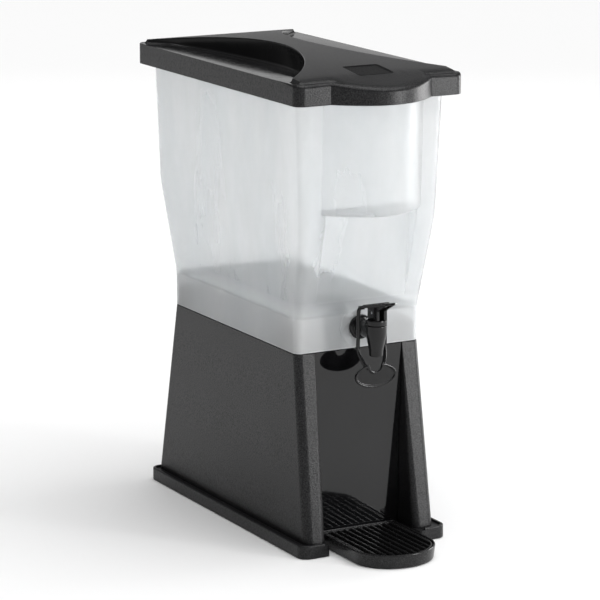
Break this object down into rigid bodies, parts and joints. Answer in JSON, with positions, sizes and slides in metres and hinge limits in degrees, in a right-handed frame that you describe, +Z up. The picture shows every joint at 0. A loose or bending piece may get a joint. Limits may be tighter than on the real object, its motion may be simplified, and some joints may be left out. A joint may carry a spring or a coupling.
{
  "type": "drink dispenser",
  "caption": "Slim countertop drink dispenser: tapered black base, frosted reservoir with a bowed front, arched lid with finger scoops, push-lever tap and ribbed drip tray.",
  "frame": {"origin": "centre of the bounding box at table height", "axes": "+Z up, -Y towards the tap and drip tray (the serving side), +X to the right of someone who faces the tap; symmetric about X = 0"},
  "size_m": [0.2128, 0.472, 0.5569],
  "materials": {
    "textured_black": "fine leather grain, injection moulded",
    "gloss_black": "polished",
    "satin_black": "satin",
    "frosted_plastic": "frosted translucent",
    "tap_black": "semi-gloss moulded",
    "rubber": "matte",
    "silicone": "satin",
    "steel": "bright drawn"
  },
  "bodies": {
    "base": {"base_shell": "textured_black", "front_panel": "gloss_black", "foot_pad_left_front": "rubber", "foot_pad_right_front": "rubber", "foot_pad_left_back": "rubber", "foot_pad_right_back": "rubber"},
    "tray": {"drip_tray": "satin_black"},
    "grate": {"drip_grate": "satin_black"},
    "tank": {"reservoir": "frosted_plastic", "tap_body": "tap_black", "tap_outer_washer": "rubber", "tap_inner_washer": "rubber", "tap_shank_nut": "tap_black", "tap_bonnet": "tap_black", "tap_spring": "steel"},
    "cover": {"lid": "textured_black", "lid_badge": "gloss_black"},
    "valve": {"tap_stem": "tap_black", "tap_seat_cup": "silicone", "tap_lever_pin": "steel"},
    "lever": {"tap_lever": "tap_black"}
  },
  "joints": [
    {"name": "reservoir_lift", "type": "slide", "parent": "base", "child": "tank", "axis": [0, 0, 1], "range_m": [0, 0.11]},
    {"name": "lid_lift", "type": "slide", "parent": "tank", "child": "cover", "axis": [0, 0, 1], "range_m": [0, 0.08]},
    {"name": "tray_slide", "type": "slide", "parent": "base", "child": "tray", "axis": [0, -1, 0], "range_m": [0, 0.15]},
    {"name": "grate_lift", "type": "slide", "parent": "tray", "child": "grate", "axis": [0, 0, 1], "range_m": [0, 0.04]},
    {"name": "stem_slide", "type": "slide", "parent": "tank", "child": "valve", "axis": [0, 0, 1], "range_m": [0, 0.0042], "deforming": ["tap_spring"]},
    {"name": "lever_pivot", "type": "hinge", "parent": "valve", "child": "lever", "pos_m": [0, -0.153, 0.276], "axis": [1, 0, 0], "range_deg": [0, 18], "stiffness_Nm_per_rad": 0.4}
  ],
  "couplings": [
    {"joint": "stem_slide", "follows": "lever_pivot", "m_per_rad": 0.0125}
  ]
}
